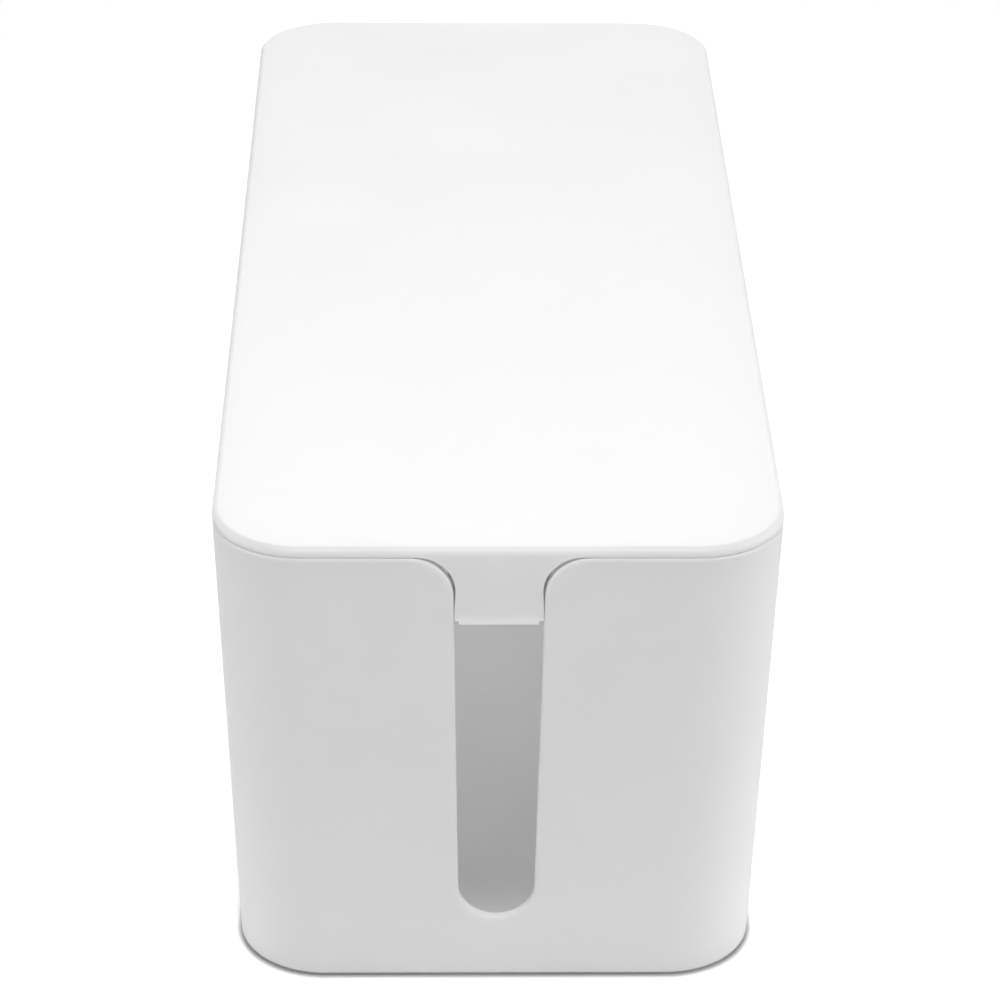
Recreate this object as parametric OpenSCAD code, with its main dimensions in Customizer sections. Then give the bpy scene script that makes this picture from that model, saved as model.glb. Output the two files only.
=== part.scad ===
// Cable management box. A drafted tub has a cable slot in each end wall, and a
// lid that lifts off fills the top of each slot with a tongue. Rubber feet are
// seated in the underside of the floor.
// Millimetres. +Z is up and +Y runs along the box. The origin is on the surface
// that the feet stand on, under the middle of the box.

/* [Tub] */
// Width of the tub across its rim
rim_w = 156; // [130:1:180]
// Length of the tub across its rim
rim_l = 380; // [300:1:440]
// Height of the tub from its lower edge to its rim
tub_h = 139; // [110:1:170]
// Distance that each wall leans in between the rim and the lower edge
wall_lean = 4.5; // [2:0.1:6]
// Radius of the corners in plan
corner_r = 25; // [18:0.5:32]
// Thickness of the walls
wall_t = 2.8; // [2:0.1:3.5]
// Thickness of the floor
floor_t = 2.8; // [2.2:0.1:4]
// Bevel where the inside of the walls meets the floor
floor_bevel = 3; // [1:0.5:6]

/* [Cable slots] */
// Radius of the rounded lower end of each slot
slot_end_r = 10.75; // [8:0.25:14]
// Height of the centre of that rounded end above the lower edge of the tub
slot_end_h = 30.3; // [20:0.1:45]
// Angle that each side of a slot leans outwards, in degrees
slot_taper = 0.9; // [0:0.1:2]
// Radius that turns each side of a slot into the rim
flare_r = 11; // [6:0.5:15]

/* [Lid] */
// Thickness of the lid, which is also the height of its visible edge
lid_t = 2.5; // [2:0.1:4]
// Rounding of the upper edge of the lid
lid_edge_r = 2; // [0.5:0.1:2.5]
// Depth of the skirt that locates the lid inside the rim
skirt_h = 7; // [4:0.5:12]
// Thickness of the skirt
skirt_t = 1.6; // [1.2:0.1:2.5]
// Clearance between the skirt and the tub's wall, at the rim
skirt_gap = 0.7; // [0.6:0.1:1.2]
// Depth of the stiffening ribs under the lid
rib_h = 3; // [1:0.5:3.5]
// Thickness of those ribs
rib_t = 1.4; // [1:0.1:2]
// Number of ribs across the lid
cross_ribs = 5; // [2:1:8]
// Number of ribs along the lid
long_ribs = 2; // [1:1:4]

/* [Tongues] */
// Distance that each tongue hangs below the rim
tongue_drop = 20.8; // [14:0.1:30]
// Thickness of a tongue
tongue_t = 2.5; // [1.8:0.1:3]
// Gap on each side of a tongue at its lower end, where the slot is narrowest
tongue_gap = 0.5; // [0.3:0.05:1]
// Width of the step in each lower corner of a tongue
step_w = 0.65; // [0.3:0.05:1.5]
// Height of that step
step_h = 1.5; // [0.5:0.1:3]
// Thickness of the gussets behind a tongue
gusset_t = 1.4; // [1:0.1:2]
// Height of the gussets
gusset_h = 14; // [8:0.5:18]
// Distance that the gussets run in under the lid
gusset_run = 9; // [5:0.5:14]
// Distance between the two gussets of a tongue
gusset_pitch = 14; // [10:0.5:18]

/* [Feet] */
// Diameter of a foot
foot_d = 12; // [8:0.5:16]
// Height that a foot stands out below the tub
foot_proud = 1; // [0.6:0.1:3]
// Depth of the seat that holds a foot
foot_seat = 0.8; // [0.4:0.1:1.4]
// Gap around a foot in its seat
foot_gap = 0.2; // [0.1:0.05:0.4]
// Rounding of the lower edge of a foot
foot_edge_r = 0.4; // [0.1:0.1:0.6]
// Distance from the lower edges of the tub in to the centre of a foot
foot_inset = 20; // [14:0.5:30]

/* [Hidden] */
plastic = [0.95, 0.95, 0.95];
rubber = [0.22, 0.22, 0.23];
over = 1;           // length by which a cutter runs past what it cuts
hull_fn = 32;       // facets of the posts that a hull joins
round_fn = 96;      // facets of round forms in a preview
rim_z = foot_proud + tub_h;
floor_z = foot_proud + floor_t;
lean_rate = wall_lean / tub_h;
foot_x = rim_w / 2 - wall_lean - foot_inset;
foot_y = rim_l / 2 - wall_lean - foot_inset;
edge_r = min(lid_edge_r, lid_t - 0.3);
corner_x = rim_w / 2 - corner_r;
corner_y = rim_l / 2 - corner_r;

// Height of the centre of the flare above the surface under the feet, and its
// distance from the middle of the slot, so that it touches the slot's side
flare_z = rim_z - flare_r;
flare_x = slot_half(flare_z) + flare_r / cos(slot_taper);
tongue_half = slot_half(rim_z - tongue_drop) - tongue_gap;

// Half of the slot's width at a height z
function slot_half(z) =
    slot_end_r / cos(slot_taper) + (z - foot_proud - slot_end_h) * tan(slot_taper);

// Distance from the middle of the box to the outside of an end wall at a height z
function end_wall_y(z) = rim_l / 2 - (rim_z - z) * lean_rate;

// A post whose foot stands nearer to the middle than its top, as a drafted
// corner does. x and y are the centre of its top.
module leaning_post(x, y, radius, height) {
    lean = height * lean_rate;
    multmatrix([
        [1, 0, sign(x) * lean_rate, x - sign(x) * lean],
        [0, 1, sign(y) * lean_rate, y - sign(y) * lean],
        [0, 0, 1, 0],
        [0, 0, 0, 1]
    ])
        cylinder(r = radius, h = height, $fn = hull_fn);
}

// The four drafted corner posts of a form that lies an even distance inside
// the outside of the tub, with its top at the height of the rim
module corner_posts(inset, height) {
    for (sx = [-1, 1], sy = [-1, 1])
        translate([0, 0, rim_z - height])
            leaning_post(sx * corner_x, sy * corner_y, corner_r - inset, height);
}

// The space inside the tub, bevelled along the floor
module cavity() {
    depth = rim_z - floor_z;
    lean = depth * lean_rate;
    hull() {
        corner_posts(wall_t, depth - floor_bevel);
        for (sx = [-1, 1], sy = [-1, 1])
            translate([sx * (corner_x - lean), sy * (corner_y - lean), floor_z])
                cylinder(r = corner_r - wall_t - floor_bevel, h = floor_bevel, $fn = hull_fn);
    }
    // carries the mouth of the cavity past the rim
    translate([0, 0, rim_z - over])
        linear_extrude(height = 2 * over)
            rounded_plan(wall_t + over * lean_rate);
}

// Plan of the rim, set in by an even distance
module rounded_plan(inset) {
    radius = corner_r - inset;
    square([rim_w - 2 * inset, 2 * corner_y], center = true);
    square([2 * corner_x, rim_l - 2 * inset], center = true);
    for (sx = [-1, 1], sy = [-1, 1])
        translate([sx * corner_x, sy * corner_y])
            circle(r = radius, $fn = round_fn);
}

// Shape of a slot, seen from the end of the box
module slot_outline() {
    top = rim_z + over;
    end_z = foot_proud + slot_end_h;
    translate([0, end_z])
        circle(r = slot_end_r, $fn = round_fn);
    polygon([
        [-slot_half(end_z), end_z],
        [slot_half(end_z), end_z],
        [slot_half(top), top],
        [-slot_half(top), top]
    ]);
    flare(flare_r, top);
}

// What a concave round of the given radius adds on both sides, up to a height
module flare(radius, top) {
    difference() {
        translate([-flare_x, flare_z])
            square([2 * flare_x, top - flare_z]);
        for (side = [-1, 1])
            translate([side * flare_x, flare_z])
                circle(r = radius, $fn = round_fn);
    }
}

// Shape of a tongue, seen from the end of the box. Its sides follow the flare
// at an even distance.
module tongue_outline() {
    low = rim_z - tongue_drop;
    top = rim_z + lid_t - edge_r;
    flare(flare_x - tongue_half, top);
    translate([-tongue_half, low + step_h])
        square([2 * tongue_half, top - low - step_h]);
    translate([step_w - tongue_half, low])
        square([2 * (tongue_half - step_w), tongue_drop]);
}

// Both tongues, each with its outside flush with the end wall
module tongues() {
    low = rim_z - tongue_drop - over;
    top = rim_z + lid_t - edge_r;
    intersection() {
        rotate([90, 0, 0])
            linear_extrude(height = rim_l + 2 * over, center = true)
                tongue_outline();
        for (end = [-1, 1])
            rotate([90, 0, 90])
                linear_extrude(height = rim_w, center = true)
                    polygon([
                        [end * end_wall_y(low), low],
                        [end * end_wall_y(rim_z), rim_z],
                        [end * end_wall_y(rim_z), top],
                        [end * (end_wall_y(rim_z) - tongue_t), top],
                        [end * (end_wall_y(rim_z) - tongue_t), rim_z],
                        [end * (end_wall_y(low) - tongue_t), low]
                    ]);
    }
}

// Triangular gussets that tie the back of each tongue to the lid
module gussets() {
    low = rim_z - gusset_h;
    for (end = [-1, 1], side = [-1, 1])
        translate([side * gusset_pitch / 2, 0, 0])
            rotate([90, 0, 90])
                linear_extrude(height = gusset_t, center = true)
                    polygon([
                        [end * (end_wall_y(low) - tongue_t / 2), low],
                        [end * (end_wall_y(rim_z) - tongue_t / 2), rim_z],
                        [end * (end_wall_y(rim_z) - tongue_t / 2), rim_z + lid_t / 2],
                        [end * (end_wall_y(rim_z) - tongue_t - gusset_run), rim_z + lid_t / 2],
                        [end * (end_wall_y(rim_z) - tongue_t - gusset_run), rim_z],
                        [end * (end_wall_y(low) - tongue_t), low]
                    ]);
}

// Section of half of the lid's plate, with its upper edge rounded
module plate_section(half) {
    square([half - edge_r, lid_t]);
    square([half, lid_t - edge_r]);
    intersection() {
        translate([half - edge_r, lid_t - edge_r])
            circle(r = edge_r, $fn = round_fn);
        square([half, lid_t]);
    }
}

module lid_plate() {
    translate([0, 0, rim_z]) {
        rotate([90, 0, 0])
            linear_extrude(height = 2 * corner_y, center = true)
                for (side = [0, 1])
                    mirror([side, 0])
                        plate_section(rim_w / 2);
        rotate([90, 0, 90])
            linear_extrude(height = 2 * corner_x, center = true)
                for (side = [0, 1])
                    mirror([side, 0])
                        plate_section(rim_l / 2);
        for (turn = [0, 180], side = [0, 1])
            rotate([0, 0, turn])
                mirror([side, 0, 0])
                    translate([corner_x, corner_y, 0])
                        rotate_extrude(angle = 90, $fn = round_fn)
                            plate_section(corner_r);
    }
}

// The skirt that locates the lid, left out behind the tongues
module skirt() {
    difference() {
        translate([0, 0, rim_z - skirt_h])
            linear_extrude(height = skirt_h + lid_t / 2)
                difference() {
                    rounded_plan(wall_t + skirt_gap);
                    rounded_plan(wall_t + skirt_gap + skirt_t);
                }
        translate([0, 0, rim_z - skirt_h / 2 - over / 2])
            cube([2 * flare_x, rim_l, skirt_h + over], center = true);
    }
}

// Ribs that cross under the lid from skirt to skirt
module ribs() {
    inside = wall_t + skirt_gap + skirt_t / 2;
    span_x = rim_w - 2 * inside;
    span_y = rim_l - 2 * (wall_t + skirt_gap + gusset_run + tongue_t);
    height = rib_h + lid_t / 2;
    rib_z = rim_z + lid_t / 2 - height / 2;
    for (i = [1 : cross_ribs])
        translate([0, span_y * (i / (cross_ribs + 1) - 0.5), rib_z])
            cube([span_x, rib_t, height], center = true);
    for (i = [1 : long_ribs])
        translate([span_x * (i / (long_ribs + 1) - 0.5), 0, rib_z])
            cube([rib_t, span_y, height], center = true);
}

module tub() {
    color(plastic)
        difference() {
            hull()
                corner_posts(0, tub_h);
            cavity();
            rotate([90, 0, 0])
                linear_extrude(height = rim_l + 2 * over, center = true)
                    slot_outline();
            for (sx = [-1, 1], sy = [-1, 1])
                translate([sx * foot_x, sy * foot_y, foot_proud - over])
                    cylinder(d = foot_d + 2 * foot_gap, h = foot_seat + over, $fn = round_fn);
        }
}

module lid() {
    color(plastic)
        union() {
            lid_plate();
            skirt();
            ribs();
            tongues();
            gussets();
        }
}

module foot(sx, sy) {
    height = foot_proud + foot_seat;
    color(rubber)
        translate([sx * foot_x, sy * foot_y, 0])
            rotate_extrude($fn = round_fn) {
                square([foot_d / 2 - foot_edge_r, height]);
                translate([0, foot_edge_r])
                    square([foot_d / 2, height - foot_edge_r]);
                translate([foot_d / 2 - foot_edge_r, foot_edge_r])
                    circle(r = foot_edge_r, $fn = round_fn);
            }
}

tub();
lid();
foot(-1, -1);  // foot_front_left
foot(1, -1);  // foot_front_right
foot(-1, 1);  // foot_rear_left
foot(1, 1);  // foot_rear_right
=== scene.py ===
"""A cable management box: a drafted tub with a cable slot in each end, a lid that
lifts off and whose tongues fill the tops of the slots, and four rubber feet."""

import math

import bpy
from bpy.props import FloatProperty, FloatVectorProperty, IntProperty, PointerProperty
from mathutils import Matrix, Vector
from mathutils.geometry import delaunay_2d_cdt


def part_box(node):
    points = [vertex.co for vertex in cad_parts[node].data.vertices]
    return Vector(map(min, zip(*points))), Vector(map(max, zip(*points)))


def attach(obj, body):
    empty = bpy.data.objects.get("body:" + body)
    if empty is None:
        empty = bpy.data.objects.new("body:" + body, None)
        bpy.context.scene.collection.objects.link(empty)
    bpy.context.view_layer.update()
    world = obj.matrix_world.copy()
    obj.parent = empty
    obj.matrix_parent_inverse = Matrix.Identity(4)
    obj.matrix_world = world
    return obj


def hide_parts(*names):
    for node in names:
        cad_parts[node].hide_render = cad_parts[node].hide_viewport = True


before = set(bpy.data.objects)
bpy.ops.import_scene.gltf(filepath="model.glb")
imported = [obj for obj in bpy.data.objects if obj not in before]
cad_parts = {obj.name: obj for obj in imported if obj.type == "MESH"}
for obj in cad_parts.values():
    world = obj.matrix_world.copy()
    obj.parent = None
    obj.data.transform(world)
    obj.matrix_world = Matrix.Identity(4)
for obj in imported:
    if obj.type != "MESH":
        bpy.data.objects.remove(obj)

bl_info = {
    "name": "Cable management box",
    "version": (1, 0, 0),
    "blender": (4, 5, 0),
    "location": "View3D > Sidebar > Cable box",
    "description": "Builds a drafted cable box with slotted ends, a lift-off lid and rubber feet",
    "category": "Add Mesh",
}

MM = 0.001
ACROSS, ALONG, UP = Vector((1, 0, 0)), Vector((0, 1, 0)), Vector((0, 0, 1))
ENDS = (-1, 1)          # front and rear, and also left and right
FEET = ("foot_front_left", "foot_front_right", "foot_rear_left", "foot_rear_right")
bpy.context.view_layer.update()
TUB_LOW, TUB_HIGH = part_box("tub")
LID_LOW, LID_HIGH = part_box("lid")
FOOT_LOW, FOOT_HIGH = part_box("foot_rear_right")
FOOT_PLACE = (FOOT_LOW + FOOT_HIGH) / 2
FOOT_RADIUS = (FOOT_HIGH.x - FOOT_LOW.x) / 2

EMBED = 0.5 * MM        # how far ribs and skirt reach into the plate
TINY = 1e-7             # two places nearer than this are one place

# Steps that each curve and stretch is divided into
CORNER_STEPS = 24       # a corner of the box, in plan
SIDE_STEPS = 12         # a long side
FLARE_STEPS = 14        # a slot's flare, and the tongue's fillet beside it
SLOT_SIDE_STEPS = 8
SLOT_END_STEPS = 18     # half of a slot's lower end
WALL_STEPS = 3          # a wall below a slot
TONGUE_STEPS = 18       # a tongue's side
TOP_STEPS = 10          # the round of the lid's upper edge
OUTER_STEPS = 8         # the round of the rim's and the slots' outer edge
FLOOR_STEPS = 8         # the round where the walls meet the floor
SMALL_STEPS = 4         # the other rounds of the tub, the skirt and the tongues' steps
LOWER_STEPS = 3         # the round of the lid's and the tongues' lower edges
SEAT_STEPS, FOOT_STEPS, FOOT_EDGE_STEPS = 48, 40, 5


def linear(hex_colour):
    """The linear colour of an sRGB hex value."""
    parts = [int(hex_colour[i:i + 2], 16) / 255 for i in (1, 3, 5)]
    return [p / 12.92 if p <= 0.04045 else ((p + 0.055) / 1.055) ** 2.4 for p in parts]


def length(name, description, default, largest=0.05):
    """A size in metres that a user may change."""
    return FloatProperty(
        name=name, description=description, default=default, min=0, max=largest,
        unit="LENGTH", precision=5,
    )


def colour(name, description, hex_colour):
    """A colour that a user may change."""
    return FloatVectorProperty(
        name=name, description=description, default=linear(hex_colour), min=0, max=1,
        subtype="COLOR",
    )


def number(name, description, default):
    """How many copies there are."""
    return IntProperty(name=name, description=description, default=default, min=1)


def power(name, description, default):
    """A light's power in watts."""
    return FloatProperty(name=name, description=description, default=default, min=0, unit="POWER")


def strength(name, description, default):
    """Strength of the light that a part of the desk gives."""
    return FloatProperty(name=name, description=description, default=default, min=0)


# ---- sizes and colours


class TubSizes(bpy.types.PropertyGroup):
    half_width: length("Half width", "Half of the tub's width across its rim", TUB_HIGH.x, 0.2)
    half_length: length("Half length", "Half of the tub's length across its rim", TUB_HIGH.y, 0.4)
    rim: length("Rim height", "Height of the rim above the desk", TUB_HIGH.z, 0.3)
    base: length("Base height", "Height of the tub's lower edge above the desk", TUB_LOW.z)
    lean: length("Wall lean", "Distance that a wall leans in down to its lower edge", 4.5 * MM)
    corner: length("Corner radius", "Radius of the corners in plan", 25 * MM)
    wall: length("Wall thickness", "Thickness of the walls", 2.8 * MM)
    floor: length("Floor thickness", "Thickness of the floor", 2.8 * MM)
    floor_round: length("Floor round", "Round where the walls meet the floor inside", 3 * MM)
    outer_round: length("Outer edge round", "Round of the rim's and slots' outer edge", 1.7 * MM)
    outer_depth: length("Outer edge depth", "Run of that round across the wall's edge", 0.9 * MM)
    inner_round: length("Inner edge round", "Round of the rim's and slots' inner edge", 0.4 * MM)
    base_round: length("Base edge round", "Round of the lower edge", 0.35 * MM)


class SlotSizes(bpy.types.PropertyGroup):
    end_radius: length("End radius", "Radius of the slot's rounded lower end", 10.75 * MM)
    end_height: length("End height", "Height of that end's centre above the base", 30.3 * MM, 0.1)
    taper: FloatProperty(
        name="Taper", description="Angle that each side of the slot leans outwards",
        default=math.radians(0.9), min=0, max=math.radians(3), subtype="ANGLE",
    )
    flare: length("Flare radius", "Radius that turns the slot's sides into the rim", 12.6 * MM)


class LidSizes(bpy.types.PropertyGroup):
    edge_round: length("Edge round", "Round of the lid's upper edge", 2 * MM)
    setback: length("Setback", "Distance of the lid's ends behind the tub's rim", 0.35 * MM)
    lower_round: length("Lower round", "Round of the lower edges of lid and tongues", 0.12 * MM)
    tongue_low: length("Tongue end", "Height of the tongues' ends above the desk", LID_LOW.z, 0.3)
    tongue: length("Tongue thickness", "Thickness of a tongue", 2.5 * MM)
    fillet: length("Tongue fillet", "Radius that turns a tongue's sides into the lid", 10.7 * MM)
    tongue_gap: length("Tongue gap", "Gap beside a tongue at its fillets' end", 0.52 * MM)
    closing_gap: length("Closing gap", "Gap beside a tongue at its lower end", 0.15 * MM)
    closing_top: length("Closing start", "Height above the step where closing starts", 10.5 * MM)
    closing_low: length("Closing end", "Height above the step where it has closed", 1.8 * MM)
    step_width: length("Step width", "Width of the step in a tongue's lower corners", 1.15 * MM)
    step_height: length("Step height", "Height of that step", 0.95 * MM)
    step_round: length("Step round", "Round of the step's corners", 0.16 * MM)
    grip: length("Grip", "Distance that a tongue's end curls out as a grip", 0.6 * MM)
    grip_height: length("Grip height", "Height of the stretch that curls out", 3.2 * MM)
    flange: length("Flange thickness", "Thickness of the flanges behind a tongue's sides", 1.2 * MM)
    flange_width: length("Flange width", "Width of a flange", 7 * MM)
    flange_lap: length("Flange lap", "Reach of a flange past the slot's side", 1.8 * MM)
    flange_gap: length("Flange gap", "Gap between a flange and the tub's wall", 1.4 * MM)
    flange_low: length("Flange end", "Height of a flange's end above the tongue's", 1.2 * MM)
    skirt: length("Skirt depth", "Depth of the skirt that locates the lid", 7 * MM)
    skirt_wall: length("Skirt thickness", "Thickness of the skirt", 1.6 * MM)
    skirt_gap: length("Skirt gap", "Gap between the skirt and the tub's wall at the rim", 0.7 * MM)
    skirt_round: length("Skirt round", "Round of the skirt's lower edges", 0.4 * MM)


class RibSizes(bpy.types.PropertyGroup):
    depth: length("Depth", "Depth of the ribs under the lid", 3 * MM)
    wall: length("Thickness", "Thickness of the ribs and gussets", 1.4 * MM)
    edge: length("Edge round", "Round of the edges of the ribs and gussets", 0.25 * MM)
    across: number("Ribs across", "Number of ribs across the lid", 5)
    along: number("Ribs along", "Number of ribs along the lid", 2)
    gusset: length("Gusset height", "Height of the gussets behind a tongue", 14 * MM)
    gusset_run: length("Gusset run", "Distance that a gusset runs in under the lid", 9 * MM)
    gusset_pitch: length("Gusset pitch", "Distance between a tongue's two gussets", 14 * MM)


class FootSizes(bpy.types.PropertyGroup):
    edge_round: length("Edge round", "Round of a foot's lower edge", 0.4 * MM)
    gap: length("Seat gap", "Gap around a foot in its seat", 0.2 * MM)


class FinishColours(bpy.types.PropertyGroup):
    tub: colour("Tub", "Colour of the tub's plastic", "#F1F1F1")
    # painted light: the lid's white is set a touch lighter than the tub's, though both are one
    # plastic, to tune how bright the lid renders
    lid: colour("Lid", "Colour of the lid's plastic", "#F2F2F2")
    foot: colour("Feet", "Colour of the feet's rubber", "#4A4A4C")
    desk: colour("Desk", "Colour of the surface that the box stands on", "#FAFAFA")


class StageSettings(bpy.types.PropertyGroup):
    eye: FloatVectorProperty(
        name="Camera place", description="Where the camera stands", subtype="TRANSLATION",
        default=(-17.54 * MM, -1053.3 * MM, 634.76 * MM),
    )
    turn: FloatVectorProperty(
        name="Camera turn", description="Heading, downward tilt and roll of the camera",
        default=(math.radians(-1.157), math.radians(28.913), math.radians(0.550)), subtype="EULER",
    )
    lens: FloatProperty(
        name="Lens", description="Focal length in millimetres", default=134.3, min=20, max=300,
    )
    overhead: power("Overhead light", "Power of the softbox close above the front end", 7.5)
    front: power("Front light", "Power of the softbox high before the front end", 8.7)
    back: power("Back light", "Power of the softbox behind the box", 59.0)
    left: power("Left light", "Power of the low softbox on the left", 16.4)
    right: power("Right light", "Power of the low softbox on the right", 25.0)
    glow: strength("Desk glow", "Glow of the desk all round the box", 0.05)
    pool: strength("Pool of light", "Further glow near the box", 0.18)
    sides: strength("Light at the sides", "Further glow along the box's sides", 0.11)
    far: strength("Light far off", "Further glow far from the box", 0.7)
    under: strength("Light under the box", "Glow of the desk under the box", 1.3)


SETTINGS = {
    "cable_tub": TubSizes,
    "cable_slot": SlotSizes,
    "cable_lid": LidSizes,
    "cable_ribs": RibSizes,
    "cable_feet": FootSizes,
    "cable_colours": FinishColours,
    "cable_stage": StageSettings,
}


# ---- mesh making


def add_object(name, data):
    """An object of its own for a mesh, a lamp or a lens."""
    item = bpy.data.objects.new(name, data)
    bpy.context.scene.collection.objects.link(item)
    return item


class Skin:
    """A mesh in the making. Each point carries the true direction of its surface,
    which becomes the shading normal, and each face is turned to agree with it."""

    def __init__(self):
        self.points = []
        self.normals = []
        self.faces = []
        self.corner_normals = []

    def point(self, place, normal):
        """Adds a point and returns its number."""
        self.points.append(Vector(place))
        self.normals.append(Vector(normal).normalized())
        return len(self.points) - 1

    def rounded(self, place, first, second, *edge):
        """Adds a row of points over a rounded edge, from its first face to its second.
        place turns distances from the edge along both faces into a point, first and
        second are the faces' directions, and edge is what quarter asks for."""
        return [self.point(place(away, depth), blend(first, second, turn))
                for away, depth, turn in quarter(*edge)]

    def face(self, corners, facing=None):
        """Adds a face. facing holds its direction at each corner, where that isn't
        the points' own, and is one direction for a flat face with hard edges."""
        if facing is None:
            facing = [self.normals[c] for c in corners]
        elif isinstance(facing, Vector):
            facing = [facing] * len(corners)
        newell = Vector()
        for a, b in zip(corners, corners[1:] + corners[:1]):
            newell += self.points[a].cross(self.points[b])
        if newell.dot(sum(facing, Vector())) < 0:
            corners, facing = corners[::-1], facing[::-1]
        self.faces.append(corners)
        self.corner_normals += facing

    def bridge(self, row_a, row_b, facing=None):
        """Joins two rows of equally many points with four-sided faces."""
        for i in range(len(row_a) - 1):
            self.face([row_a[i], row_a[i + 1], row_b[i + 1], row_b[i]], facing)

    def loop(self, rows):
        """Joins rows into a closed band."""
        for row_a, row_b in zip(rows, rows[1:] + rows[:1]):
            self.bridge(row_a, row_b)

    def build(self, name, material):
        """Makes the mesh's object, at the origin."""
        mesh = bpy.data.meshes.new(name)
        mesh.from_pydata(self.points, [], self.faces, shade_flat=False)
        mesh.normals_split_custom_set(self.corner_normals)
        mesh.materials.append(material)
        return add_object(name, mesh)


def shares(count):
    """Even steps from 0 to 1, both included."""
    return [i / count for i in range(count + 1)]


def quarter(radius, count, reach=None):
    """Steps round a rounded edge: how far each lies from the sharp edge along the
    first face, how far along the second, and the turn from one to the other. A reach
    is how far the round runs along the first face, where that isn't its radius."""
    reach = reach or radius
    steps = []
    for t in (share * math.pi / 2 for share in shares(count)):
        turn = math.atan2(radius * math.sin(t), reach * math.cos(t))
        steps.append((reach * (1 - math.sin(t)), radius * (1 - math.cos(t)), turn))
    return steps


def blend(first, second, turn):
    """A direction that has turned from the first towards the second."""
    return first * math.cos(turn) + second * math.sin(turn)


def spokes_round(count):
    """Level directions all the way round."""
    turns = (math.tau * share for share in shares(count)[:-1])
    return [Vector((math.cos(turn), math.sin(turn), 0)) for turn in turns]


def arc(centre, radius, start, end, count, solid_inside):
    """Points of an arc drawn on a wall, each with the direction into the solid."""
    path = []
    for share in shares(count):
        angle = math.radians(start + (end - start) * share)
        out = Vector((math.cos(angle), math.sin(angle)))
        path.append((Vector(centre) + radius * out, -out if solid_inside else out))
    return path


# ---- shared shape

# Angle at which the corner on a side and at an end starts, going round the box.
CORNER_START = {(1, -1): -90, (1, 1): 0, (-1, 1): 90, (-1, -1): 180}


def half_columns(side):
    """The upright lines of a long side and its corners, in order round the box. Each
    holds its place relative to the corners' centres and its direction."""
    columns = []
    for end in (-side, side):
        for share in shares(CORNER_STEPS):
            angle = math.radians(CORNER_START[side, end] + 90 * share)
            columns.append((side, end, math.cos(angle), math.sin(angle)))
        if end == -side:
            between = shares(SIDE_STEPS)[1:-1]
            columns += [(side, end * (1 - 2 * share), side, 0) for share in between]
    return columns


class Shape:
    """What the tub and the lid share: the plan, the walls' lean and the slots."""

    def __init__(self):
        scene = bpy.context.scene
        self.tub, self.slot, self.lid = scene.cable_tub, scene.cable_slot, scene.cable_lid
        self.rate = self.tub.lean / (self.tub.rim - self.tub.base)
        self.corner_x = self.tub.half_width - self.tub.corner
        self.corner_y = self.tub.half_length - self.tub.corner
        self.end_z = self.tub.base + self.slot.end_height
        self.flare_z = self.tub.rim - self.slot.flare
        self.flare_x = self.slot_half(self.flare_z) + self.slot.flare / math.cos(self.slot.taper)

    def lean(self, z):
        """Distance that the walls have leaned in at a height."""
        return self.rate * max(0, self.tub.rim - z)

    def slot_half(self, z):
        """Half of the slot's width at a height."""
        slot = self.slot
        return slot.end_radius / math.cos(slot.taper) + (z - self.end_z) * math.tan(slot.taper)

    def on_column(self, column, z, depth, upright=False, setback=0):
        """Point on an upright line, at a depth inside the outer face. With a setback,
        the whole end stands that much further in."""
        kx, ky, nx, ny = column
        lean = 0 if upright else self.lean(z)
        radius = self.tub.corner - depth
        x = kx * (self.corner_x - lean) + nx * radius
        y = ky * (self.corner_y - lean - setback) + ny * radius
        return Vector((x, y, z))

    def on_end(self, end, x, z, depth, upright=False):
        """Point on an end wall, at a depth inside its outer face."""
        lean = 0 if upright else self.lean(z)
        return Vector((x, end * (self.tub.half_length - lean - depth), z))

    def outward(self, nx, ny):
        """Direction that a leaning wall faces, from its direction in plan."""
        return Vector((nx, ny, -self.rate * (abs(nx) + abs(ny)))).normalized()


def edge_on_end(shape, end, side, edge, into, sunk=None):
    """Turns a point of an edge drawn on an end wall, and its direction into the
    solid, to the given end and side. Returns how to place points beside it, and
    both directions. sunk gives a further depth and slope at a height."""

    def place(away, depth):
        x, z = edge + into * away
        return shape.on_end(end, side * x, z, depth + (sunk(z)[0] if sunk else 0))

    slope = shape.rate + (sunk(edge.y)[1] if sunk else 0)
    return place, Vector((0, end, -slope)).normalized(), Vector((side * into.x, 0, into.y))


# ---- tub


def slot_path(shape):
    """Right half of a slot's edge, from the rim to its lowest point."""
    slot = shape.slot
    taper = math.degrees(slot.taper)
    centre = shape.flare_x, shape.flare_z
    flare = arc(centre, slot.flare, 90, 180 - taper, FLARE_STEPS, True)
    end = arc((0, shape.end_z), slot.end_radius, -taper, -90, SLOT_END_STEPS, False)
    top, into = flare[-1]
    side = [(top.lerp(end[0][0], share), into) for share in shares(SLOT_SIDE_STEPS)[1:-1]]
    return flare + side + end


def wall_levels(path, edge_round, lowest):
    """Heights of a wall's rows: one for each point of a slot's edge, and a few below."""
    rows = [point.y + into.y * edge_round for point, into in path]
    return rows + [rows[-1] + (lowest - rows[-1]) * share for share in shares(WALL_STEPS)[1:]]


def wall_strip(skin, tub, place, normal, into):
    """Row of points over the wall's edge from its outer to its inner face, with
    both edges rounded. into points from the edge into the wall."""
    outer = skin.rounded(place, normal, -into, tub.outer_depth, OUTER_STEPS, tub.outer_round)
    inner = skin.rounded(lambda away, depth: place(away, tub.wall - depth),
                         -normal, -into, tub.inner_round, SMALL_STEPS)
    return outer + inner[::-1]


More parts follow.
